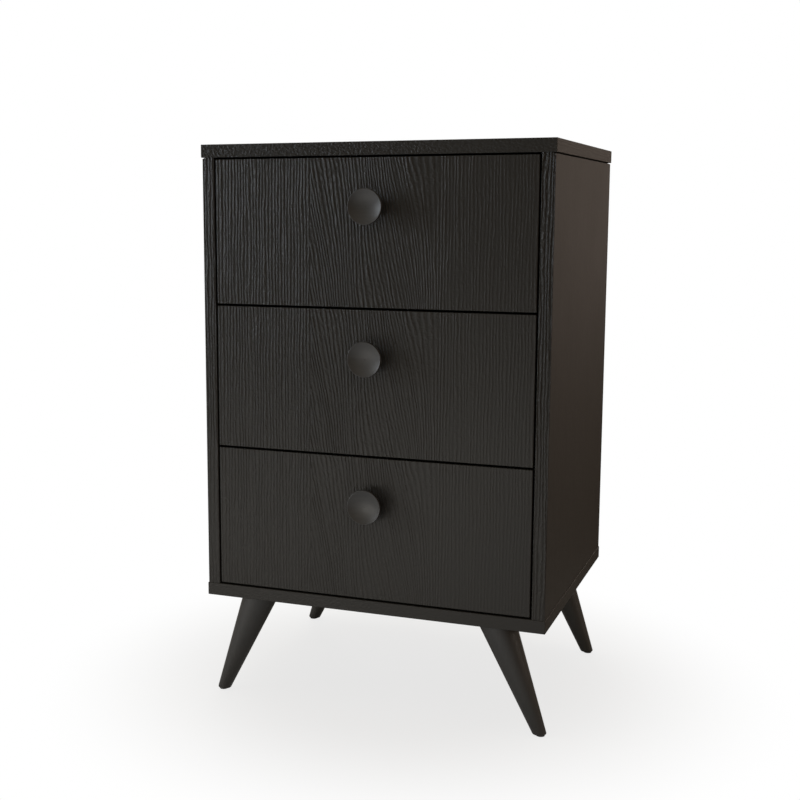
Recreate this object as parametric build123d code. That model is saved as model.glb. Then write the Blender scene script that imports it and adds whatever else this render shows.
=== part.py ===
"""Three-drawer nightstand on four splayed, tapered legs.

Millimetres, +Z up, front facing -Y. The origin lies on the floor below the middle
of the overall box, knobs included. Every piece goes to its own STEP file.
"""
import os

from build123d import *

# Carcass
TOTAL_HEIGHT = 800.0
LEG_HEIGHT = 153.0
BOARD = 18.0
CARCASS_WIDTH = 497.0
CARCASS_DEPTH = 408.0
TOP_OVERHANG = 1.5
BOTTOM_OVERHANG = 1.0
EDGE_EASE = 0.8
SHADOW_LINE_DROP = 1.8
SHADOW_LINE_REACH = 4.8
BACK_BOARD = 3.0
BACK_INSET = 8.0
BACK_GROOVE_DEPTH = 7.0
GROOVE_CLEARANCE = 0.15

# Drawers
DRAWER_NAMES = ("bottom", "middle", "top")
FRONT_MARGIN = 2.5
FRONT_SPACING = 3.0
BOX_BOARD = 15.0
BOX_LENGTH = 350.0
BOX_HEIGHT = 150.0
BOX_RAISE = 16.0
BOX_EDGE_EASE = 0.5
TRAY_BOARD = 3.0
TRAY_RAISE = 10.0
TRAY_GROOVE_DEPTH = 5.0
TRAY_END_PLAY = 0.3

# Knobs
KNOB_RADIUS = 24.0
KNOB_PROJECTION = 22.0
KNOB_BELOW_FRONT_TOP = 65.0
KNOB_FOOT_RADIUS = 9.5
KNOB_FOOT_HEIGHT = 1.5
KNOB_WAIST_RADIUS = 9.1
KNOB_WAIST_HEIGHT = 4.6
KNOB_RIM_BACK = 16.5
KNOB_RIM_BACK_ROUND = 0.8
KNOB_RIM_FRONT_ROUND = 0.8
KNOB_LIP_WIDTH = 0.6
KNOB_LIP_DROP = 0.3
KNOB_DISH_DEPTH = 5.2
KNOB_SCREW_RADIUS = 2.0
KNOB_SCREW_GRIP = 10.0
KNOB_SCREW_HEAD_RADIUS = 4.0
KNOB_SCREW_HEAD = 2.6
KNOB_SCREW_SLOT = (5.6, 1.0, 1.3)

# Legs
LEG_TOP_X = 178.0
LEG_FOOT_X = 240.6
LEG_INSET_Y = 27.5
LEG_TOP_RADIUS = 24.8
LEG_FOOT_RADIUS = 8.9
LEG_FOOT_EASE = 1.8
LEG_OVERLENGTH = 20.0
GLIDE_HEIGHT = 2.0
GLIDE_RADIUS = 6.0
LEG_SCREW_X = 184.0
LEG_SCREW_SPREAD = 10.0
LEG_SCREW_LENGTH = 56.0
LEG_SCREW_RADIUS = 2.45
LEG_SCREW_HEAD_RADIUS = 4.8
LEG_SCREW_HEAD = 3.0

# Ball-bearing runners: u runs from the cabinet side towards the drawer
RUNNER_GAP = 12.7
RUNNER_SHEET = 1.2
RUNNER_SETBACK = 2.0
RUNNER_ABOVE_BOX_FLOOR = 75.0
CHANNEL_LENGTH = 350.0
CHANNEL_HALF_HEIGHT = 17.5
CHANNEL_REACH = 10.6
CHANNEL_LIP = 2.0
RAIL_HALF_HEIGHT = 9.9
RAIL_START = 3.6
CAGE_SHEET = 0.8
CAGE_START = 2.0
CAGE_END = 10.2
CAGE_HALF_HEIGHT = 13.5
CAGE_LENGTH = 96.0
CAGE_SETBACK = 127.0
BALL_RADIUS = 2.9
BALL_U = 6.2
BALL_PITCH = 24.0
BALLS_PER_ROW = 4
BALL_HOLE_RADIUS = 3.2
CHANNEL_SCREWS = (40.0, 170.0, 320.0)
RAIL_SCREWS = (30.0, 320.0)
RUNNER_SCREW_RADIUS = 1.7
RUNNER_SCREW_HEAD_RADIUS = 3.0
RUNNER_SCREW_LENGTH = 13.0

# Knock-down fittings
CAM_RADIUS = 7.5
CAM_BELOW_BOLT = 4.5
CAM_SETBACK = 30.0
CAM_SLOT = (9.0, 1.6, 2.0)
BOLT_THREAD_RADIUS = 2.5
BOLT_THREAD_LENGTH = 10.0
BOLT_SHANK_RADIUS = 3.0
BOLT_NECK_RADIUS = 1.8
BOLT_NECK_LENGTH = 4.0
BOLT_HEAD_RADIUS = 3.2
BOLT_HEAD_LENGTH = 3.0
BOLT_POCKET_RADIUS = 3.7
BOLT_POCKET_PAST_CENTRE = 4.0
DOWEL_RADIUS = 4.0
DOWEL_IN_SIDE = 20.0
DOWEL_IN_PANEL = 10.0
FITTING_FROM_EDGE = 60.0
DOWEL_FROM_EDGE = 92.0
BOX_FRONT_FITTINGS = (32.0, 122.0)
BOX_BACK_FITTINGS = (42.0, 112.0)
BORE_CLEARANCE = 0.1
BORE_OVERDEPTH = 0.5
CUT_MARGIN = 1.0

# Derived levels and limits
OVERALL_DEPTH = KNOB_PROJECTION + CARCASS_DEPTH
FRONT_Y = KNOB_PROJECTION - OVERALL_DEPTH / 2
BACK_Y = FRONT_Y + CARCASS_DEPTH
HALF_WIDTH = CARCASS_WIDTH / 2
HALF_INSIDE = HALF_WIDTH - BOARD
FLOOR_Z = LEG_HEIGHT + BOARD
CEILING_Z = TOTAL_HEIGHT - BOARD
FRONT_HEIGHT = (CEILING_Z - FLOOR_Z - 2 * FRONT_MARGIN - 2 * FRONT_SPACING) / 3
HALF_FRONT = HALF_INSIDE - FRONT_MARGIN
HALF_BOX = HALF_INSIDE - RUNNER_GAP
HALF_TRAY = HALF_BOX - BOX_BOARD
FRONT_REAR_Y = FRONT_Y + BOARD
BOX_REAR_Y = FRONT_REAR_Y + BOX_LENGTH
CHANNEL_Y = FRONT_REAR_Y + RUNNER_SETBACK
BALL_LEVEL = CAGE_HALF_HEIGHT - CAGE_SHEET / 2


def block(x, y, z):
    """A box between the low and high limits along each axis."""
    spans = (x, y, z)
    middle = [(low + high) / 2 for low, high in spans]
    return Pos(*middle) * Box(*[high - low for low, high in spans])


def board(x, y, z, ease=EDGE_EASE):
    """A panel with all its edges slightly rounded."""
    panel = block(x, y, z)
    return fillet(panel.edges(), ease)


def rod(start, along, radius, length):
    """A cylinder from a start point along a direction."""
    return Solid.make_cylinder(radius, length, Plane(origin=start, z_dir=along))


def countersunk(start, along, radius, head_radius, head, length):
    """A countersunk screw with its flat head face at the start point."""
    plane = Plane(origin=start, z_dir=along)
    cone = Solid.make_cone(head_radius, radius, head, plane)
    return cone + Solid.make_cylinder(radius, length, plane)


def section(points, y_low, y_high):
    """A closed outline in X and Z, extruded from front to back."""
    outline = Polyline(*[(x, y_low, z) for x, z in points], close=True)
    return extrude(make_face(outline), amount=y_high - y_low, dir=(0, 1, 0))


def mirrored(shape):
    """The same shape on the other side of the middle plane."""
    return mirror(shape, about=Plane.YZ)


def both_sides(shapes):
    """The shapes of the right side together with their mirror images."""
    return list(shapes) + [mirrored(shape) for shape in shapes]


def front_z(index):
    """Lower edge of a drawer front, counted from the bottom drawer."""
    return FLOOR_Z + FRONT_MARGIN + index * (FRONT_HEIGHT + FRONT_SPACING)


def runner_z(index):
    return front_z(index) + BOX_RAISE + RUNNER_ABOVE_BOX_FLOOR


def placed(shape, joint, into, opening):
    """A fitting moved from its own axes to a joint: bolt along into, cam open to opening."""
    return Plane(origin=joint, x_dir=into, z_dir=opening).location * shape


def cross_slot(length, width, depth):
    """Cutters for a cross slot sunk into a face at z=0, in their own axes."""
    long_way = (-length / 2, length / 2)
    short_way = (-width / 2, width / 2)
    z = (-depth, CUT_MARGIN)
    return [block(long_way, short_way, z), block(short_way, long_way, z)]


def cam_lock(half_board):
    """The cam disc in its own axes: joint at x=0, bolt along +X, cam axis +Z."""
    height = half_board + CAM_BELOW_BOLT
    disc = rod((CAM_SETBACK, 0, -CAM_BELOW_BOLT), (0, 0, 1), CAM_RADIUS, height)
    pocket_start = (CAM_SETBACK - CAM_RADIUS - CUT_MARGIN, 0, 0)
    pocket_length = CUT_MARGIN + CAM_RADIUS + BOLT_POCKET_PAST_CENTRE
    pocket = rod(pocket_start, (1, 0, 0), BOLT_POCKET_RADIUS, pocket_length)
    cross = [Pos(CAM_SETBACK, 0, half_board) * cut for cut in cross_slot(*CAM_SLOT)]
    return disc - [pocket] - cross


def cam_bolt():
    """The bolt in the same axes: thread behind the joint, head in the cam."""
    shank = CAM_SETBACK - BOLT_NECK_LENGTH
    ahead = (1, 0, 0)
    thread = rod((-BOLT_THREAD_LENGTH, 0, 0), ahead, BOLT_THREAD_RADIUS, BOLT_THREAD_LENGTH)
    body = rod((0, 0, 0), ahead, BOLT_SHANK_RADIUS, shank)
    neck = rod((shank, 0, 0), ahead, BOLT_NECK_RADIUS, BOLT_NECK_LENGTH)
    head = rod((CAM_SETBACK, 0, 0), ahead, BOLT_HEAD_RADIUS, BOLT_HEAD_LENGTH)
    return thread + body + neck + head


def thread_bore():
    length = BOLT_THREAD_LENGTH + BORE_OVERDEPTH
    return rod((0, 0, 0), (-1, 0, 0), BOLT_THREAD_RADIUS + BORE_CLEARANCE, length)


def cam_bores(half_board):
    """Edge bore for the bolt and face bore for the cam."""
    edge = rod((0, 0, 0), (1, 0, 0), BOLT_HEAD_RADIUS + BORE_CLEARANCE, CAM_SETBACK)
    depth = half_board + CAM_BELOW_BOLT + BORE_OVERDEPTH
    face = rod((CAM_SETBACK, 0, half_board), (0, 0, -1), CAM_RADIUS + BORE_CLEARANCE, depth)
    return [edge, face]


def carcass_joints(from_edge):
    """Right-hand joints between side and top or bottom: level, point, direction into the side."""
    x = HALF_INSIDE + BOARD / 2
    levels = (("top", CEILING_Z, (0, 0, -1)), ("bottom", FLOOR_Z, (0, 0, 1)))
    depths = (FRONT_Y + from_edge, BACK_Y - from_edge)
    return [(level, (x, y, z), into) for level, z, into in levels for y in depths]


def dowel_bore(point, along, length):
    return rod(point, along, DOWEL_RADIUS + BORE_CLEARANCE, length + BORE_OVERDEPTH)


def panel_joint_bores(level):
    """Bores in the top or bottom panel for cam bolts and dowels."""
    bores = []
    for where, point, into in carcass_joints(FITTING_FROM_EDGE):
        if where == level:
            bores.append(placed(thread_bore(), point, into, (-1, 0, 0)))
    for where, point, into in carcass_joints(DOWEL_FROM_EDGE):
        if where == level:
            bores.append(dowel_bore(point, (0, 0, -into[2]), DOWEL_IN_PANEL))
    return both_sides(bores)


def back_groove():
    """The space that the grooves leave for the back panel."""
    y_high = BACK_Y - BACK_INSET + GROOVE_CLEARANCE
    y_low = BACK_Y - BACK_INSET - BACK_BOARD - GROOVE_CLEARANCE
    reach = HALF_INSIDE + BACK_GROOVE_DEPTH
    z = (FLOOR_Z - BACK_GROOVE_DEPTH, CEILING_Z + BACK_GROOVE_DEPTH)
    return block((-reach, reach), (y_low, y_high), z)


def back_panel():
    reach = HALF_INSIDE + BACK_GROOVE_DEPTH - BORE_OVERDEPTH
    y = (BACK_Y - BACK_INSET - BACK_BOARD, BACK_Y - BACK_INSET)
    low = FLOOR_Z - BACK_GROOVE_DEPTH + BORE_OVERDEPTH
    high = CEILING_Z + BACK_GROOVE_DEPTH - BORE_OVERDEPTH
    return block((-reach, reach), y, (low, high))


def top_panel():
    reach = HALF_WIDTH + TOP_OVERHANG
    panel = board((-reach, reach), (FRONT_Y - TOP_OVERHANG, BACK_Y), (CEILING_Z, TOTAL_HEIGHT))
    return panel - panel_joint_bores("top") - [back_groove()]


def bottom_panel():
    reach = HALF_WIDTH + BOTTOM_OVERHANG
    panel = board((-reach, reach), (FRONT_Y - BOTTOM_OVERHANG, BACK_Y), (LEG_HEIGHT, FLOOR_Z))
    panel = panel - panel_joint_bores("bottom") - [back_groove()]
    return panel - [leg_screw(x, y, BORE_CLEARANCE) for x, y in leg_screw_places()]


def channel_screw(y, z, clearance=0.0):
    """A screw that holds a channel to the right cabinet side, or the bore for it."""
    start = (HALF_INSIDE - RUNNER_SHEET, y, z)
    radius = RUNNER_SCREW_RADIUS + clearance
    head_radius = RUNNER_SCREW_HEAD_RADIUS + clearance
    length = RUNNER_SCREW_LENGTH + clearance
    return countersunk(start, (1, 0, 0), radius, head_radius, RUNNER_SHEET, length)


def rail_screw(y, z, clearance=0.0):
    """A screw that holds a rail to the right side of a drawer, or the bore for it."""
    start = (HALF_BOX + RUNNER_SHEET, y, z)
    radius = RUNNER_SCREW_RADIUS + clearance
    head_radius = RUNNER_SCREW_HEAD_RADIUS + clearance
    length = RUNNER_SCREW_LENGTH + clearance
    return countersunk(start, (-1, 0, 0), radius, head_radius, RUNNER_SHEET, length)


def right_side_panel():
    """Side panel with the slanted shadow line along its outer top edge."""
    outline = [
        (HALF_INSIDE, FLOOR_Z),
        (HALF_WIDTH, FLOOR_Z),
        (HALF_WIDTH, CEILING_Z - SHADOW_LINE_DROP),
        (HALF_WIDTH - SHADOW_LINE_REACH, CEILING_Z),
        (HALF_INSIDE, CEILING_Z),
    ]
    panel = section(outline, FRONT_Y, BACK_Y)
    panel = fillet(panel.edges().filter_by(Axis.Z), EDGE_EASE)
    bores = [back_groove()]
    for _, point, into in carcass_joints(FITTING_FROM_EDGE):
        bores += [placed(bore, point, into, (-1, 0, 0)) for bore in cam_bores(BOARD / 2)]
    for _, point, into in carcass_joints(DOWEL_FROM_EDGE):
        bores.append(dowel_bore(point, into, DOWEL_IN_SIDE))
    for index in range(len(DRAWER_NAMES)):
        for y in CHANNEL_SCREWS:
            bores.append(channel_screw(CHANNEL_Y + y, runner_z(index), BORE_CLEARANCE))
    return panel - bores


def carcass_cam_locks():
    lock = cam_lock(BOARD / 2)
    joints = carcass_joints(FITTING_FROM_EDGE)
    return both_sides([placed(lock, point, into, (-1, 0, 0)) for _, point, into in joints])


def carcass_cam_bolts():
    bolt = cam_bolt()
    joints = carcass_joints(FITTING_FROM_EDGE)
    return both_sides([placed(bolt, point, into, (-1, 0, 0)) for _, point, into in joints])


def carcass_dowels():
    dowels = []
    for _, (x, y, z), into in carcass_joints(DOWEL_FROM_EDGE):
        start = (x, y, z - into[2] * DOWEL_IN_PANEL)
        dowels.append(rod(start, into, DOWEL_RADIUS, DOWEL_IN_PANEL + DOWEL_IN_SIDE))
    return both_sides(dowels)


def leg_rows():
    """Front and rear leg centres along Y."""
    return (("front", FRONT_Y + LEG_INSET_Y), ("rear", BACK_Y - LEG_INSET_Y))


def leg_screw_places():
    rows = [y + step for _, y in leg_rows() for step in (-LEG_SCREW_SPREAD, LEG_SCREW_SPREAD)]
    return [(x, y) for x in (-LEG_SCREW_X, LEG_SCREW_X) for y in rows]


def leg_screw(x, y, clearance=0.0):
    """A leg screw with its head flush in the bottom panel, or the bore for it."""
    radius = LEG_SCREW_RADIUS + clearance
    head_radius = LEG_SCREW_HEAD_RADIUS + clearance
    length = LEG_SCREW_LENGTH + clearance
    return countersunk((x, y, FLOOR_Z), (0, 0, -1), radius, head_radius, LEG_SCREW_HEAD, length)


def right_leg(y):
    """Tapered leg leaning outwards, cut level at the floor and under the bottom panel."""
    top = Vector(LEG_TOP_X, y, LEG_HEIGHT)
    foot = Vector(LEG_FOOT_X, y, 0)
    reach = (foot - top).length
    down = (foot - top).normalized()
    extra = LEG_OVERLENGTH * (LEG_TOP_RADIUS - LEG_FOOT_RADIUS) / reach
    cone = Solid.make_cone(
        LEG_TOP_RADIUS + extra,
        LEG_FOOT_RADIUS - extra,
        reach + 2 * LEG_OVERLENGTH,
        Plane(origin=top - down * LEG_OVERLENGTH, z_dir=down),
    )
    around = (y - 2 * LEG_TOP_RADIUS, y + 2 * LEG_TOP_RADIUS)
    between = block((0, 2 * LEG_FOOT_X), around, (GLIDE_HEIGHT, LEG_HEIGHT))
    leg = cone & between
    leg = fillet(leg.edges().group_by(Axis.Z)[0], LEG_FOOT_EASE)
    return leg - [leg_screw(x, row, BORE_CLEARANCE) for x, row in leg_screw_places() if x > 0]


def foot_glides():
    glides = []
    for _, y in leg_rows():
        glides.append(rod((LEG_FOOT_X, y, 0), (0, 0, 1), GLIDE_RADIUS, GLIDE_HEIGHT))
    return both_sides(glides)


def runner_section(points, index, y, length):
    """A sheet profile on the right side, given as u from the cabinet side and height."""
    level = runner_z(index)
    outline = [(HALF_INSIDE - u, level + z) for u, z in points]
    return section(outline, y, y + length)


def right_channel(index):
    """Runner channel on the cabinet side, with lips that keep the balls in."""
    h, t, r = CHANNEL_HALF_HEIGHT, RUNNER_SHEET, CHANNEL_REACH
    lip = h - t - CHANNEL_LIP
    upper = [(t, h - t), (r - t, h - t), (r - t, lip), (r, lip), (r, h), (0, h)]
    lower = [(u, -z) for u, z in reversed(upper)]
    channel = runner_section(lower + upper, index, CHANNEL_Y, CHANNEL_LENGTH)
    bores = [channel_screw(CHANNEL_Y + y, runner_z(index), BORE_CLEARANCE) for y in CHANNEL_SCREWS]
    return channel - bores


def right_rail(index):
    """Runner rail on the side of the drawer box."""
    h, t = RAIL_HALF_HEIGHT, RUNNER_SHEET
    upper = [(RUNNER_GAP - t, h - t), (RAIL_START, h - t), (RAIL_START, h), (RUNNER_GAP, h)]
    lower = [(u, -z) for u, z in reversed(upper)]
    length = BOX_LENGTH - RUNNER_SETBACK
    rail = runner_section(lower + upper, index, CHANNEL_Y, length)
    bores = [rail_screw(CHANNEL_Y + y, runner_z(index), BORE_CLEARANCE) for y in RAIL_SCREWS]
    return rail - bores


def runner_cages(index):
    """Ball cages of both runners, each with two rows of loose balls."""
    h, t = CAGE_HALF_HEIGHT, CAGE_SHEET
    start, end = CAGE_START, CAGE_END
    upper = [(start + t, h - t), (end, h - t), (end, h), (start, h)]
    lower = [(u, -z) for u, z in reversed(upper)]
    y_low = CHANNEL_Y + CAGE_SETBACK
    cage = runner_section(lower + upper, index, y_low, CAGE_LENGTH)
    x = HALF_INSIDE - BALL_U
    first = y_low + (CAGE_LENGTH - (BALLS_PER_ROW - 1) * BALL_PITCH) / 2
    rows = [first + step * BALL_PITCH for step in range(BALLS_PER_ROW)]
    level = runner_z(index)
    reach = 2 * CAGE_HALF_HEIGHT
    holes = [rod((x, y, level - h), (0, 0, 1), BALL_HOLE_RADIUS, reach) for y in rows]
    balls = [
        Pos(x, y, level + side * BALL_LEVEL) * Sphere(BALL_RADIUS)
        for y in rows
        for side in (-1, 1)
    ]
    return both_sides([cage - holes] + balls)


def channel_screws():
    """All screws that hold the runner channels to the cabinet sides."""
    screws = []
    for index in range(len(DRAWER_NAMES)):
        screws += [channel_screw(CHANNEL_Y + y, runner_z(index)) for y in CHANNEL_SCREWS]
    return both_sides(screws)


def rail_screws(index):
    return both_sides([rail_screw(CHANNEL_Y + y, runner_z(index)) for y in RAIL_SCREWS])


def box_floor(index):
    return front_z(index) + BOX_RAISE


def box_front_joints(index):
    """Right-hand joints between drawer side and front, bolt running back into the side."""
    x = HALF_BOX - BOX_BOARD / 2
    return [(x, FRONT_REAR_Y, box_floor(index) + z) for z in BOX_FRONT_FITTINGS]


def box_back_joints(index):
    """Right-hand joints between drawer side and back, bolt running into the back."""
    y = BOX_REAR_Y - BOX_BOARD / 2
    return [(HALF_TRAY, y, box_floor(index) + z) for z in BOX_BACK_FITTINGS]


def at_box_joints(index, front_shape, back_shape):
    """A shape at every cam joint of a drawer box, on both sides."""
    front = [placed(front_shape, p, (0, 1, 0), (1, 0, 0)) for p in box_front_joints(index)]
    back = [placed(back_shape, p, (-1, 0, 0), (0, 1, 0)) for p in box_back_joints(index)]
    return both_sides(front + back)


def tray_groove(index):
    """The space that the grooves leave for the drawer bottom."""
    reach = HALF_TRAY + TRAY_GROOVE_DEPTH
    y = (FRONT_REAR_Y - TRAY_GROOVE_DEPTH, BOX_REAR_Y - BOX_BOARD + TRAY_GROOVE_DEPTH)
    low = box_floor(index) + TRAY_RAISE
    z = (low - GROOVE_CLEARANCE, low + TRAY_BOARD + GROOVE_CLEARANCE)
    return block((-reach, reach), y, z)


def drawer_bottom(index):
    grip = TRAY_GROOVE_DEPTH - TRAY_END_PLAY
    reach = HALF_TRAY + grip
    y = (FRONT_REAR_Y - grip, BOX_REAR_Y - BOX_BOARD + grip)
    low = box_floor(index) + TRAY_RAISE
    return block((-reach, reach), y, (low, low + TRAY_BOARD))


def drawer_front(index):
    z = (front_z(index), front_z(index) + FRONT_HEIGHT)
    panel = board((-HALF_FRONT, HALF_FRONT), (FRONT_Y, FRONT_REAR_Y), z)
    bores = [placed(thread_bore(), p, (0, 1, 0), (1, 0, 0)) for p in box_front_joints(index)]
    knob_bore_start = (0, FRONT_Y - CUT_MARGIN, knob_z(index))
    knob_bore_radius = KNOB_SCREW_RADIUS + BORE_CLEARANCE
    knob_bore = rod(knob_bore_start, (0, 1, 0), knob_bore_radius, BOARD + 2 * CUT_MARGIN)
    return panel - both_sides(bores) - [tray_groove(index), knob_bore]


def right_drawer_side(index):
    z = (box_floor(index), box_floor(index) + BOX_HEIGHT)
    panel = board((HALF_TRAY, HALF_BOX), (FRONT_REAR_Y, BOX_REAR_Y), z, BOX_EDGE_EASE)
    bores = [tray_groove(index)]
    for point in box_front_joints(index):
        bores += [placed(b, point, (0, 1, 0), (1, 0, 0)) for b in cam_bores(BOX_BOARD / 2)]
    for point in box_back_joints(index):
        bores.append(placed(thread_bore(), point, (-1, 0, 0), (0, 1, 0)))
    bores += [rail_screw(CHANNEL_Y + y, runner_z(index), BORE_CLEARANCE) for y in RAIL_SCREWS]
    return panel - bores


def drawer_back(index):
    z = (box_floor(index), box_floor(index) + BOX_HEIGHT)
    y = (BOX_REAR_Y - BOX_BOARD, BOX_REAR_Y)
    panel = board((-HALF_TRAY, HALF_TRAY), y, z, BOX_EDGE_EASE)
    bores = []
    for point in box_back_joints(index):
        bores += [placed(b, point, (-1, 0, 0), (0, 1, 0)) for b in cam_bores(BOX_BOARD / 2)]
    return panel - both_sides(bores) - [tray_groove(index)]


def knob_z(index):
    return front_z(index) + FRONT_HEIGHT - KNOB_BELOW_FRONT_TOP


def knob_outline():
    """Half section of the knob: radius along X, distance from the drawer front along -Y."""
    foot = (KNOB_FOOT_RADIUS, -KNOB_FOOT_HEIGHT)
    waist = (KNOB_WAIST_RADIUS, -KNOB_WAIST_HEIGHT)
    flare = (KNOB_RADIUS - KNOB_RIM_BACK_ROUND, -KNOB_RIM_BACK)
    rim_back = (KNOB_RADIUS, -KNOB_RIM_BACK - KNOB_RIM_BACK_ROUND)
    rim_front = (KNOB_RADIUS, -KNOB_PROJECTION + KNOB_RIM_FRONT_ROUND)
    crest = (KNOB_RADIUS - KNOB_RIM_FRONT_ROUND, -KNOB_PROJECTION)
    dish_edge = (crest[0] - KNOB_LIP_WIDTH, -KNOB_PROJECTION + KNOB_LIP_DROP)
    dish_floor = (0, -KNOB_PROJECTION + KNOB_DISH_DEPTH)
    return make_face([
        Line((0, 0), (KNOB_FOOT_RADIUS, 0)),
        Line((KNOB_FOOT_RADIUS, 0), foot),
        ThreePointArc(foot, waist, flare),
        TangentArc(rim_back, flare, tangent=(0, 1)),
        Line(rim_back, rim_front),
        TangentArc(rim_front, crest, tangent=(0, -1)),
        Line(crest, dish_edge),
        TangentArc(dish_floor, dish_edge, tangent=(1, 0)),
        Line(dish_floor, (0, 0)),
    ])


def knob(index):
    """Turned knob with a dished face, bored for its screw."""
    turned = revolve(knob_outline(), axis=Axis.Y)
    length = KNOB_SCREW_GRIP + BORE_OVERDEPTH
    bore = rod((0, 0, 0), (0, -1, 0), KNOB_SCREW_RADIUS + BORE_CLEARANCE, length)
    return Pos(0, FRONT_Y, knob_z(index)) * (turned - bore)


def knob_screw(index):
    """Pan-head screw through the drawer front into the knob, with a cross slot."""
    start = (0, FRONT_REAR_Y, knob_z(index))
    shank = rod(start, (0, -1, 0), KNOB_SCREW_RADIUS, BOARD + KNOB_SCREW_GRIP)
    head = rod(start, (0, 1, 0), KNOB_SCREW_HEAD_RADIUS, KNOB_SCREW_HEAD)
    face = Plane(
        origin=(0, FRONT_REAR_Y + KNOB_SCREW_HEAD, knob_z(index)),
        x_dir=(1, 0, 0),
        z_dir=(0, 1, 0),
    )
    return shank + head - [face.location * cut for cut in cross_slot(*KNOB_SCREW_SLOT)]


def group(shapes):
    """Separate solids kept together in one node."""
    return Compound([solid for shape in shapes for solid in shape.solids()])


def carcass_nodes():
    side = right_side_panel()
    nodes = {
        "top_panel": top_panel(),
        "bottom_panel": bottom_panel(),
        "left_side_panel": mirrored(side),
        "right_side_panel": side,
        "back_panel": back_panel(),
        "carcass_cam_locks": group(carcass_cam_locks()),
        "carcass_cam_bolts": group(carcass_cam_bolts()),
        "carcass_dowels": group(carcass_dowels()),
        "leg_screws": group([leg_screw(x, y) for x, y in leg_screw_places()]),
        "foot_glides": group(foot_glides()),
        "channel_screws": group(channel_screws()),
    }
    for row, y in leg_rows():
        leg = right_leg(y)
        nodes[f"{row}_left_leg"] = mirrored(leg)
        nodes[f"{row}_right_leg"] = leg
    return nodes


def drawer_nodes(index, name):
    channel = right_channel(index)
    rail = right_rail(index)
    side = right_drawer_side(index)
    locks = at_box_joints(index, cam_lock(BOX_BOARD / 2), cam_lock(BOX_BOARD / 2))
    bolts = at_box_joints(index, cam_bolt(), cam_bolt())
    return {
        f"{name}_left_channel": mirrored(channel),
        f"{name}_right_channel": channel,
        f"{name}_ball_cages": group(runner_cages(index)),
        f"{name}_drawer_left_rail": mirrored(rail),
        f"{name}_drawer_right_rail": rail,
        f"{name}_drawer_rail_screws": group(rail_screws(index)),
        f"{name}_drawer_front": drawer_front(index),
        f"{name}_drawer_left_side": mirrored(side),
        f"{name}_drawer_right_side": side,
        f"{name}_drawer_back": drawer_back(index),
        f"{name}_drawer_bottom": drawer_bottom(index),
        f"{name}_drawer_cam_locks": group(locks),
        f"{name}_drawer_cam_bolts": group(bolts),
        f"{name}_drawer_knob": knob(index),
        f"{name}_drawer_knob_screw": knob_screw(index),
    }


def main():
    nodes = carcass_nodes()
    for index, name in enumerate(DRAWER_NAMES):
        nodes.update(drawer_nodes(index, name))
    os.makedirs("parts", exist_ok=True)
    for name, shape in nodes.items():
        export_step(shape, f"parts/{name}.step")


main()
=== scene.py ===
from math import pi, radians

import bpy
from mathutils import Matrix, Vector


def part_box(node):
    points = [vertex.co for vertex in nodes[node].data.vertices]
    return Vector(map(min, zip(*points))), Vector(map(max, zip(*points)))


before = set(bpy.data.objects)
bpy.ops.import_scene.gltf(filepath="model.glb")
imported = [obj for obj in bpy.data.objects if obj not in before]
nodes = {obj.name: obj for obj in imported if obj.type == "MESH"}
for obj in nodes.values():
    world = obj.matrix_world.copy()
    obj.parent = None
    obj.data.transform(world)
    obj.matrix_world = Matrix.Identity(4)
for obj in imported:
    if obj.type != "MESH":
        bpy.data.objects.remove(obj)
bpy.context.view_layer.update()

LEVELS = ("bottom", "middle", "top")
SIDES = ("left", "right")

# Where the drawer fronts repeat, in metres.
FRONT_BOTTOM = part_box("bottom_drawer_front")[0].z
FRONT_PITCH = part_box("middle_drawer_front")[0].z - FRONT_BOTTOM
HALF_GAP = 0.0015

# The embossed grain, in metres. The flame is the leaning grain in the middle of the fronts.
RIDGE_SPACING = 0.0047
RIDGE_HEIGHT = 0.0015
FLAME_LEFT = -0.085
FLAME_RIGHT = 0.07
SEAM_RAG = 0.016

# Smooth steps, each as (start, end, value at the start, value at the end), with places in metres.
# How far the flame leans: past its seam, in its core, and out at its right.
SEAM_LEAN = (0.01, 0.06, 0.19, 0.08)
CORE_LEAN = (-0.02, 0.035, 0.0, 0.12)
FLAME_END = (FLAME_RIGHT - 0.02, FLAME_RIGHT + 0.03, 1.0, 0.0)
# How much of the emboss is left, as the photo shows it: going up, to the back and to the right.
EMBOSS_UP = (0.2, 0.66, 0.4, 1.04)
EMBOSS_BACK = (-0.1, 0.1, 1.0, 0.35)
EMBOSS_RIGHT = (-0.06, 0.18, 1.08, 0.3)
# How white the floor is: to the camera, going away from the object, and to gloss, going to the front.
WHITE_AWAY = (0.2, 0.58, 0.75, 1.0)
WHITE_IN_FRONT = (0.0, -0.55, 0.0, 0.95)

# Roughness of the black boards on their wide faces and on those that face left and right.
FACE_ROUGHNESS = 0.42
END_ROUGHNESS = 0.6

# How strongly the grain tints the laminate: per depth of the emboss, and on what faces left and right.
TINT_PER_RELIEF = 0.7
END_TINT = 0.6

# The camera stands where the photo was taken from.
CAMERA_PLACE = (0.5808, -1.7897, 0.7092)
CAMERA_TILT = 8.4936
CAMERA_TURN = 21.2175
CAMERA_LENS = 56.763
CAMERA_SHIFT = (0.0721, -0.0013)
SENSOR_WIDTH = 36.0

# The light of the room around the object, as (below, above) the horizon.
WORLD_LEFT = ((0.03, 0.028, 0.026), (0.75, 0.73, 0.66))
WORLD_RIGHT = ((0.15, 0.10, 0.065), (0.52, 0.38, 0.27))

# How far the studio floor reaches, in metres: to the left and the front, and to the right and the back.
FLOOR_NEAR = -5.0
FLOOR_FAR = 0.6


# A small kit for writing node materials.

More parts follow.
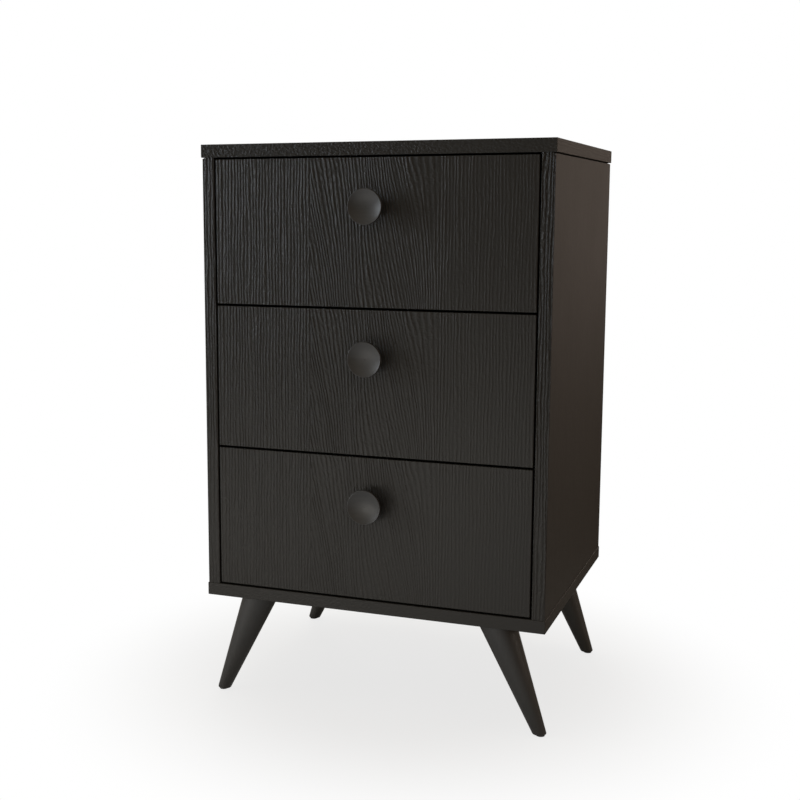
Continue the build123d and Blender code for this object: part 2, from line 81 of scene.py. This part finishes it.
class Graph:
    """A node tree, with a short call for each kind of node that repeats."""

    def __init__(self, tree):
        self.tree = tree

    def feed(self, socket, value):
        """Links the socket to another one, or sets its value."""
        if isinstance(value, bpy.types.NodeSocket):
            self.tree.links.new(value, socket)
        else:
            socket.default_value = value

    def add(self, kind, inputs=None, **settings):
        node = self.tree.nodes.new(kind)
        for key, value in settings.items():
            setattr(node, key, value)
        for key, value in (inputs or {}).items():
            self.feed(node.inputs[key], value)
        return node

    def calc(self, operation, *values):
        """A calculation with plain numbers and sockets."""
        return self.add("ShaderNodeMath", dict(enumerate(values)), operation=operation).outputs[0]

    def split(self, vector):
        return tuple(self.add("ShaderNodeSeparateXYZ", {0: vector}).outputs)

    def point(self, x, y, z=0.0):
        return self.add("ShaderNodeCombineXYZ", {0: x, 1: y, 2: z}).outputs[0]

    def blend(self, share, low, high):
        """low where share is 0, high where it is 1."""
        return self.add("ShaderNodeMix", {0: share, 2: low, 3: high}).outputs[0]

    def step(self, value, start, end, low=0.0, high=1.0):
        """A smooth step from low to high while value goes from start to end."""
        wanted = {0: value, 1: start, 2: end, 3: low, 4: high}
        return self.add("ShaderNodeMapRange", wanted, interpolation_type="SMOOTHSTEP").outputs[0]

    def noise(self, vector, scale=1.0, detail=2.0, roughness=0.5):
        wanted = {"Vector": vector, "Scale": scale, "Detail": detail, "Roughness": roughness}
        return self.add("ShaderNodeTexNoise", wanted).outputs[0]

    def colours(self, share, *stops):
        """A colour ramp through (place, colour) stops."""
        ramp = self.add("ShaderNodeValToRGB", {0: share})
        while len(ramp.color_ramp.elements) < len(stops):
            ramp.color_ramp.elements.new(1.0)
        for element, (place, colour) in zip(ramp.color_ramp.elements, stops):
            element.position = place
            element.color = (*colour, 1.0)
        return ramp.outputs[0]


class Shader(Graph):
    """A node material for one kind of surface."""

    def __init__(self, name):
        self.material = bpy.data.materials.new(name)
        self.material.use_nodes = True
        super().__init__(self.material.node_tree)
        self.surface = self.tree.nodes["Principled BSDF"]
        self.here = self.add("ShaderNodeTexCoord").outputs["Object"]
        self.x, self.y, self.z = self.split(self.here)
        self.facing = self.add("ShaderNodeNewGeometry").outputs["True Normal"]
        self.facing_x, self.facing_y, self.facing_z = (
            self.calc("GREATER_THAN", self.calc("ABSOLUTE", part), 0.7)
            for part in self.split(self.facing)
        )

    def stretched(self, factors):
        """The place on the piece, with x, y and z each multiplied by its factor."""
        parts = zip((self.x, self.y, self.z), factors)
        return self.point(*(self.calc("MULTIPLY", part, factor) for part, factor in parts))

    def rubbed_and_highlit_edges(self, radius=0.0012):
        """1 on the outer edges of a piece and 0 on its faces, in broken patches: rubbed edges and a
        painted edge highlight.
        """
        rounded = self.add("ShaderNodeBevel", {"Radius": radius}, samples=4).outputs[0]
        match = self.add("ShaderNodeVectorMath", {0: rounded, 1: self.facing}, operation="DOT_PRODUCT")
        edge = self.step(match.outputs["Value"], 0.995, 0.9)
        patches = self.noise(self.here, 90.0, 3.0, 0.6)
        return self.calc("MULTIPLY", edge, self.step(patches, 0.42, 0.62))

    def bump(self, height, distance):
        wanted = {"Height": height, "Distance": distance, "Strength": 1.0}
        return self.add("ShaderNodeBump", wanted).outputs[0]

    def finish(self, colour, roughness, normal, **plain):
        """Feeds the surface. plain holds values that are the same all over it."""
        self.feed(self.surface.inputs["Base Color"], colour)
        self.feed(self.surface.inputs["Roughness"], roughness)
        self.feed(self.surface.inputs["Normal"], normal)
        for key, value in plain.items():
            self.feed(self.surface.inputs[key.replace("_", " ")], value)
        return self.material


# The black boards.

def streaks(s, across, along, wide, long, layer, detail=2.0):
    """Noise with wide patches per metre across a board and long ones per metre along it.

    Each layer is a pattern of its own.
    """
    place = s.point(s.calc("MULTIPLY", across, wide), s.calc("MULTIPLY", along, long), layer)
    return s.noise(place, 1.0, detail)


def grain_lines(s, along, across, wander):
    """Embossed grain from 0 to 1: wavy, uneven ridges along a board, thinned out and broken by pores."""
    drift = streaks(s, across, along, 55.0, 7.0, 3.1)
    tremble = streaks(s, across, along, 130.0, 34.0, 7.7)
    bent = s.calc("MULTIPLY_ADD", s.calc("SUBTRACT", drift, 0.5), wander, across)
    bent = s.calc("MULTIPLY_ADD", s.calc("SUBTRACT", tremble, 0.5), 0.6 * RIDGE_SPACING, bent)
    ridge = s.calc("SINE", s.calc("MULTIPLY", bent, 2.0 * pi / RIDGE_SPACING))
    ridge = s.calc("MULTIPLY_ADD", ridge, 0.5, 0.5)
    strength = streaks(s, bent, along, 110.0, 11.0, 1.3, detail=3.0)
    ridge = s.calc("MULTIPLY", ridge, s.step(strength, 0.28, 0.58, 0.4, 1.0))
    pores = streaks(s, bent, along, 360.0, 130.0, 9.4)
    ridge = s.calc("MULTIPLY", ridge, s.step(pores, 0.36, 0.56, 0.38, 1.0))
    fibres = streaks(s, bent, along, 620.0, 60.0, 5.2)
    specks = streaks(s, across, along, 260.0, 380.0, 4.6, detail=1.0)
    fine = s.calc("MULTIPLY_ADD", fibres, 0.14, s.step(specks, 0.38, 0.62, 0.0, 0.13))
    return s.calc("MULTIPLY_ADD", ridge, 0.76, fine)


def flame(s, along, across):
    """The leaning grain in the middle of a drawer front, which starts at a ragged seam on its left."""
    ragged = s.noise(s.point(s.calc("MULTIPLY", along, 22.0), 2.2))
    seam = s.calc("MULTIPLY_ADD", ragged, SEAM_RAG, FLAME_LEFT - SEAM_RAG / 2)
    past_seam = s.calc("SUBTRACT", across, seam)
    inside = s.calc("GREATER_THAN", past_seam, 0.0)
    lean = s.calc("MULTIPLY", s.step(past_seam, *SEAM_LEAN), inside)
    lean = s.calc("ADD", lean, s.step(across, *CORE_LEAN))
    lean = s.calc("MULTIPLY", lean, s.step(across, *FLAME_END))
    return s.calc("MULTIPLY_ADD", along, lean, across)


def emboss_left(s, sideways):
    """The share of the emboss that is left on what faces front or back.

    It is less lower down, at the back and, where sideways is set, to the right.
    """
    share = s.calc("MULTIPLY", s.step(s.z, *EMBOSS_UP), s.step(s.y, *EMBOSS_BACK))
    if sideways:
        share = s.calc("MULTIPLY", share, s.step(s.x, *EMBOSS_RIGHT))
    return s.blend(s.facing_y, 1.0, share)


def black_board(name, lying=False, repeat=False, face_relief=1.0, end_relief=1.0, wander=0.008):
    """Black woodgrain laminate. Its grain runs up a standing board and from end to end of a lying one.

    face_relief is the depth of the emboss on the surfaces that face front and back or up and down,
    end_relief the depth on the surfaces that face left and right. A board that repeats is a drawer
    front, and a lying one has speckled long edges.
    """
    s = Shader(name)
    if lying:
        along = s.blend(s.facing_x, s.x, s.y)
        across = s.blend(s.facing_z, s.z, s.y)
    else:
        along = s.blend(s.facing_z, s.z, s.y)
        across = s.blend(s.facing_x, s.x, s.y)
    if repeat:
        along = s.calc("SUBTRACT", along, FRONT_BOTTOM - HALF_GAP)
        along = s.calc("SUBTRACT", s.calc("FLOORED_MODULO", along, FRONT_PITCH), FRONT_PITCH / 2)
        across = flame(s, along, across)
    lines = grain_lines(s, along, across, wander)
    if lying:
        speckle = streaks(s, s.x, s.z, 260.0, 330.0, s.y, detail=1.5)
        lines = s.blend(s.facing_y, lines, s.calc("MULTIPLY", s.step(speckle, 0.35, 0.65), 0.62))
    relief = s.blend(s.facing_x, face_relief, end_relief)
    relief = s.calc("MULTIPLY", relief, emboss_left(s, sideways=repeat or lying))
    cloud = s.noise(s.here, 7.0, 3.0)
    tint = s.blend(s.facing_x, s.calc("MULTIPLY", relief, TINT_PER_RELIEF), END_TINT)
    grained = s.calc("MULTIPLY", s.calc("SUBTRACT", lines, 0.45), tint)
    tone = s.calc("ADD", s.calc("MULTIPLY_ADD", cloud, 0.2, 0.3), grained)
    # Lighter outer edges: rubbed edges, and a painted highlight along them.
    tone = s.calc("MULTIPLY_ADD", s.rubbed_and_highlit_edges(), 0.4, tone)
    colour = s.colours(tone, (0.0, (0.0046, 0.0042, 0.0036)), (0.4, (0.0122, 0.0114, 0.0099)),
                       (0.8, (0.0205, 0.0192, 0.0168)), (1.0, (0.027, 0.025, 0.022)))
    roughness = s.calc("MULTIPLY_ADD", cloud, 0.10, s.blend(s.facing_x, FACE_ROUGHNESS, END_ROUGHNESS))
    normal = s.bump(s.calc("MULTIPLY", lines, relief), RIDGE_HEIGHT)
    return s.finish(colour, roughness, normal, Specular_IOR_Level=0.22)


def black_melamine():
    """Fine pearl-textured black melamine of the drawer boxes."""
    s = Shader("black_melamine_pearl")
    pearl = s.noise(s.here, 900.0, 2.0)
    cloud = s.noise(s.here, 6.0, 4.0, 0.6)
    # Lighter outer edges: rubbed edges, and a painted highlight along them.
    tone = s.calc("MULTIPLY_ADD", s.rubbed_and_highlit_edges(), 0.5, cloud)
    colour = s.colours(tone, (0.3, (0.027, 0.0265, 0.0255)), (0.7, (0.039, 0.0383, 0.037)),
                       (1.0, (0.07, 0.068, 0.065)))
    roughness = s.calc("MULTIPLY_ADD", cloud, 0.2, 0.42)
    return s.finish(colour, roughness, s.bump(pearl, 0.00012), Specular_IOR_Level=0.35)


def black_hardboard():
    """Pressed fibre board with a black film on it."""
    s = Shader("black_hardboard_film")
    fibres = s.noise(s.stretched((420.0, 420.0, 420.0)), 1.0, 4.0, 0.65)
    cloud = s.noise(s.here, 9.0, 5.0, 0.6)
    tone = s.calc("MULTIPLY_ADD", fibres, 0.5, s.calc("MULTIPLY", cloud, 0.5))
    colour = s.colours(tone, (0.35, (0.017, 0.0165, 0.0155)), (0.65, (0.034, 0.0325, 0.030)))
    roughness = s.calc("MULTIPLY_ADD", cloud, 0.18, 0.52)
    return s.finish(colour, roughness, s.bump(fibres, 0.00016), Specular_IOR_Level=0.3)


# The black lacquered, turned wood.

def black_lacquer(name, stretch, tone=1.0):
    """Satin black lacquer over turned wood, whose pores show faintly. stretch is low along the grain."""
    s = Shader(name)
    pores = s.noise(s.stretched(stretch), 1.0, 3.0)
    peel = s.noise(s.here, 260.0, 1.0)
    cloud = s.noise(s.here, 22.0, 4.0, 0.6)
    share = s.calc("MULTIPLY_ADD", cloud, 0.5, s.calc("MULTIPLY", pores, 0.5))
    colour = s.colours(share, (0.3, (0.011 * tone, 0.0108 * tone, 0.0103 * tone)),
                       (0.7, (0.019 * tone, 0.0186 * tone, 0.0176 * tone)))
    roughness = s.calc("MULTIPLY_ADD", cloud, 0.16, 0.36)
    height = s.calc("MULTIPLY_ADD", peel, 0.4, s.calc("MULTIPLY", pores, 0.6))
    return s.finish(colour, roughness, s.bump(height, 0.00008), Specular_IOR_Level=0.4)


# Metal, plastic and plain wood of the fittings.

def plated_metal(name, dark, light, stretch, roughness, relief):
    """Plated metal with drawn or cast marks and a little tarnish."""
    s = Shader(name)
    marks = s.noise(s.stretched(stretch), 1.0, 3.0)
    tarnish = s.noise(s.here, 45.0, 5.0, 0.65)
    share = s.calc("MULTIPLY_ADD", tarnish, 0.7, s.calc("MULTIPLY", marks, 0.3))
    # Lighter outer edges: rubbed plating, and a painted highlight along them.
    share = s.calc("MULTIPLY_ADD", s.rubbed_and_highlit_edges(0.0006), 0.3, share)
    colour = s.colours(share, (0.3, dark), (0.75, light))
    sheen = s.calc("MULTIPLY_ADD", marks, 0.18, s.calc("MULTIPLY_ADD", tarnish, 0.14, roughness))
    return s.finish(colour, sheen, s.bump(marks, relief), Metallic=1.0)


def beech():
    """Bare beech with short flecks along the x axis."""
    s = Shader("beech_wood")
    flecks = s.noise(s.stretched((80.0, 700.0, 700.0)), 1.0, 3.0)
    colour = s.colours(flecks, (0.3, (0.36, 0.22, 0.12)), (0.7, (0.55, 0.37, 0.22)))
    roughness = s.calc("MULTIPLY_ADD", flecks, 0.2, 0.5)
    return s.finish(colour, roughness, s.bump(flecks, 0.0001))


def nylon():
    """Black nylon, a little scuffed."""
    s = Shader("black_nylon")
    grain = s.noise(s.here, 1500.0, 2.0)
    scuffs = s.noise(s.here, 160.0, 4.0, 0.7)
    colour = s.colours(scuffs, (0.35, (0.013, 0.013, 0.013)), (0.75, (0.035, 0.034, 0.033)))
    roughness = s.calc("MULTIPLY_ADD", scuffs, 0.25, 0.4)
    return s.finish(colour, roughness, s.bump(grain, 0.00008))


def dress(material, *names):
    """Gives the CAD nodes of those names the material, in all their slots."""
    for name in names:
        slots = nodes[name].data.materials
        for place in range(len(slots)):
            slots[place] = material


front_board = black_board("black_woodgrain_front", repeat=True, end_relief=0.3, wander=0.009)
side_board = black_board("black_woodgrain_side", face_relief=1.2, end_relief=0.08, wander=0.012)
top_board = black_board("black_woodgrain_top", lying=True, face_relief=0.8, end_relief=0.15, wander=0.02)
bottom_board = black_board("black_woodgrain_bottom", lying=True, face_relief=0.35, end_relief=0.1)
melamine = black_melamine()
hardboard = black_hardboard()
leg_lacquer = black_lacquer("black_lacquer_leg", (300.0, 300.0, 12.0))
knob_lacquer = black_lacquer("black_lacquer_knob", (12.0, 300.0, 300.0), tone=1.1)
runner_steel = plated_metal("zinc_plated_runner", dark=(0.42, 0.43, 0.44), light=(0.62, 0.63, 0.64),
                            stretch=(400.0, 8.0, 400.0), roughness=0.26, relief=0.00004)
cage_steel = plated_metal("zinc_plated_cage", dark=(0.36, 0.37, 0.39), light=(0.58, 0.59, 0.60),
                          stretch=(300.0, 60.0, 300.0), roughness=0.24, relief=0.00003)
cast_zinc = plated_metal("cast_zinc", dark=(0.34, 0.34, 0.35), light=(0.52, 0.52, 0.53),
                         stretch=(700.0, 700.0, 700.0), roughness=0.36, relief=0.00006)
screw_steel = plated_metal("zinc_plated_screw", dark=(0.45, 0.45, 0.46), light=(0.66, 0.66, 0.67),
                           stretch=(250.0, 250.0, 900.0), roughness=0.22, relief=0.00004)

dress(side_board, "left_side_panel", "right_side_panel")
dress(top_board, "top_panel")
dress(bottom_board, "bottom_panel")
dress(hardboard, "back_panel")
dress(cast_zinc, "carcass_cam_locks")
dress(screw_steel, "carcass_cam_bolts", "leg_screws", "channel_screws")
dress(beech(), "carcass_dowels")
dress(nylon(), "foot_glides")
for end in ("front", "rear"):
    dress(leg_lacquer, *(f"{end}_{side}_leg" for side in SIDES))
for level in LEVELS:
    drawer = f"{level}_drawer"
    dress(front_board, f"{drawer}_front")
    dress(melamine, f"{drawer}_left_side", f"{drawer}_right_side", f"{drawer}_back")
    dress(hardboard, f"{drawer}_bottom")
    dress(knob_lacquer, f"{drawer}_knob")
    dress(cast_zinc, f"{drawer}_cam_locks")
    dress(screw_steel, f"{drawer}_knob_screw", f"{drawer}_cam_bolts", f"{drawer}_rail_screws")
    for side in SIDES:
        dress(runner_steel, f"{drawer}_{side}_rail", f"{level}_{side}_channel")
    dress(cage_steel, f"{level}_ball_cages")


# The studio: a pale floor that turns white away from the object, a white world and soft lamps.

def studio_floor():
    """A pale floor, which glossy surfaces see as white in front of the object."""
    mesh = bpy.data.meshes.new("studio_floor")
    corners = [(FLOOR_NEAR, FLOOR_NEAR, 0.0), (FLOOR_FAR, FLOOR_NEAR, 0.0),
               (FLOOR_FAR, FLOOR_FAR, 0.0), (FLOOR_NEAR, FLOOR_FAR, 0.0)]
    mesh.from_pydata(corners, [], [(0, 1, 2, 3)])
    floor = bpy.data.objects.new("studio_floor", mesh)
    bpy.context.scene.collection.objects.link(floor)
    s = Shader("studio_floor_white")
    cloud = s.noise(s.point(s.x, s.y), 3.0, 2.0)
    paint = s.colours(cloud, (0.3, (0.44, 0.44, 0.43)), (0.7, (0.46, 0.46, 0.45)))
    s.finish(paint, s.calc("MULTIPLY_ADD", cloud, 0.1, 0.8), s.bump(cloud, 0.0001), Specular_IOR_Level=0.1)
    away = s.calc("SQRT", s.calc("ADD", s.calc("MULTIPLY", s.x, s.x), s.calc("MULTIPLY", s.y, s.y)))
    paths = s.add("ShaderNodeLightPath").outputs
    white = s.add("ShaderNodeEmission")
    looked_at = s.calc("MULTIPLY", paths["Is Camera Ray"], s.step(away, *WHITE_AWAY))
    mirrored = s.calc("MULTIPLY", paths["Is Glossy Ray"], s.step(s.y, *WHITE_IN_FRONT))
    share = s.calc("MAXIMUM", looked_at, mirrored)
    mixed = s.add("ShaderNodeMixShader", {0: share, 1: s.surface.outputs[0], 2: white.outputs[0]})
    s.feed(s.tree.nodes["Material Output"].inputs["Surface"], mixed.outputs[0])
    mesh.materials.append(s.material)


def soft_lamp(name, place, target, size, power, colour, spread=180.0):
    """A rectangular lamp that faces its target. spread is the full angle of its beam in degrees."""
    data = bpy.data.lights.new(name, "AREA")
    data.shape = "RECTANGLE"
    data.size, data.size_y = size
    data.energy = power
    data.color = colour
    data.spread = radians(spread)
    lamp = bpy.data.objects.new(name, data)
    lamp.location = place
    lamp.rotation_euler = (Vector(target) - Vector(place)).to_track_quat("-Z", "Y").to_euler()
    lamp.visible_camera = False
    bpy.context.scene.collection.objects.link(lamp)


def white_world():
    """White where the camera sees it. As light it is a room, cool on the left and warm on the right."""
    world = bpy.data.worlds.new("studio_world")
    world.use_nodes = True
    g = Graph(world.node_tree)
    x, _, z = g.split(g.add("ShaderNodeTexCoord").outputs["Generated"])
    height = g.step(z, -0.15, 0.15)
    left, right = (g.colours(height, *enumerate(shades)) for shades in (WORLD_LEFT, WORLD_RIGHT))
    sideways = g.calc("MULTIPLY_ADD", x, 0.5, 0.5)
    room = g.add("ShaderNodeMix", {0: sideways, 6: left, 7: right}, data_type="RGBA").outputs[2]
    lit = g.tree.nodes["Background"]
    g.feed(lit.inputs["Color"], room)
    white = g.add("ShaderNodeBackground", {"Color": (1.0, 1.0, 1.0, 1.0)})
    seen = g.add("ShaderNodeLightPath").outputs["Is Camera Ray"]
    mixed = g.add("ShaderNodeMixShader", {0: seen, 1: lit.outputs[0], 2: white.outputs[0]})
    g.feed(g.tree.nodes["World Output"].inputs["Surface"], mixed.outputs[0])
    bpy.context.scene.world = world


def camera():
    """The photo's camera, turned about the vertical and tilted down, in degrees."""
    data = bpy.data.cameras.new("photo_camera")
    data.sensor_width = SENSOR_WIDTH
    data.lens = CAMERA_LENS
    data.shift_x, data.shift_y = CAMERA_SHIFT
    view = bpy.data.objects.new("photo_camera", data)
    view.location = CAMERA_PLACE
    view.rotation_euler = (radians(90.0 - CAMERA_TILT), 0.0, radians(CAMERA_TURN))
    bpy.context.scene.collection.objects.link(view)
    bpy.context.scene.camera = view


studio_floor()
white_world()

# The front: a grazing lamp that brings out the grain, a window and a low lamp for the bottom drawers.
soft_lamp("rake_lamp", place=(-2.15, -0.85, 0.95), target=(0.1, -0.2, 0.85), size=(0.6, 0.6),
          power=1.3, colour=(0.80, 0.89, 1.0), spread=44.0)
soft_lamp("window_lamp", place=(-1.95, -1.42, 1.0), target=(0.0, -0.2, 0.6), size=(0.7, 0.9),
          power=0.72, colour=(0.96, 0.96, 1.0), spread=60.0)
soft_lamp("low_lamp", place=(-0.6, -1.3, 0.12), target=(0.05, -0.2, 0.16), size=(1.3, 0.22),
          power=1.12, colour=(1.0, 0.96, 0.88), spread=80.0)

# The right side, from behind and from the right. Both are warm.
soft_lamp("warm_lamp", place=(0.8, 2.3, 1.0), target=(0.25, 0.0, 0.72), size=(0.8, 1.3),
          power=0.4, colour=(1.0, 0.79, 0.7), spread=60.0)
soft_lamp("side_lamp", place=(2.3, 0.1, 0.8), target=(0.25, 0.0, 0.78), size=(0.7, 0.7),
          power=1.25, colour=(1.0, 0.9, 0.83), spread=36.0)

# The top and the back.
soft_lamp("top_lamp", place=(-0.4, 0.45, 2.3), target=(-0.2, 0.1, 0.8), size=(0.9, 0.9),
          power=8.0, colour=(1.0, 0.98, 0.95))
soft_lamp("back_lamp", place=(-0.75, 2.0, 1.0), target=(-0.1, 0.2, 0.5), size=(0.9, 0.9),
          power=10.0, colour=(1.0, 0.98, 0.95))

camera()
bpy.context.scene.view_settings.view_transform = "Standard"
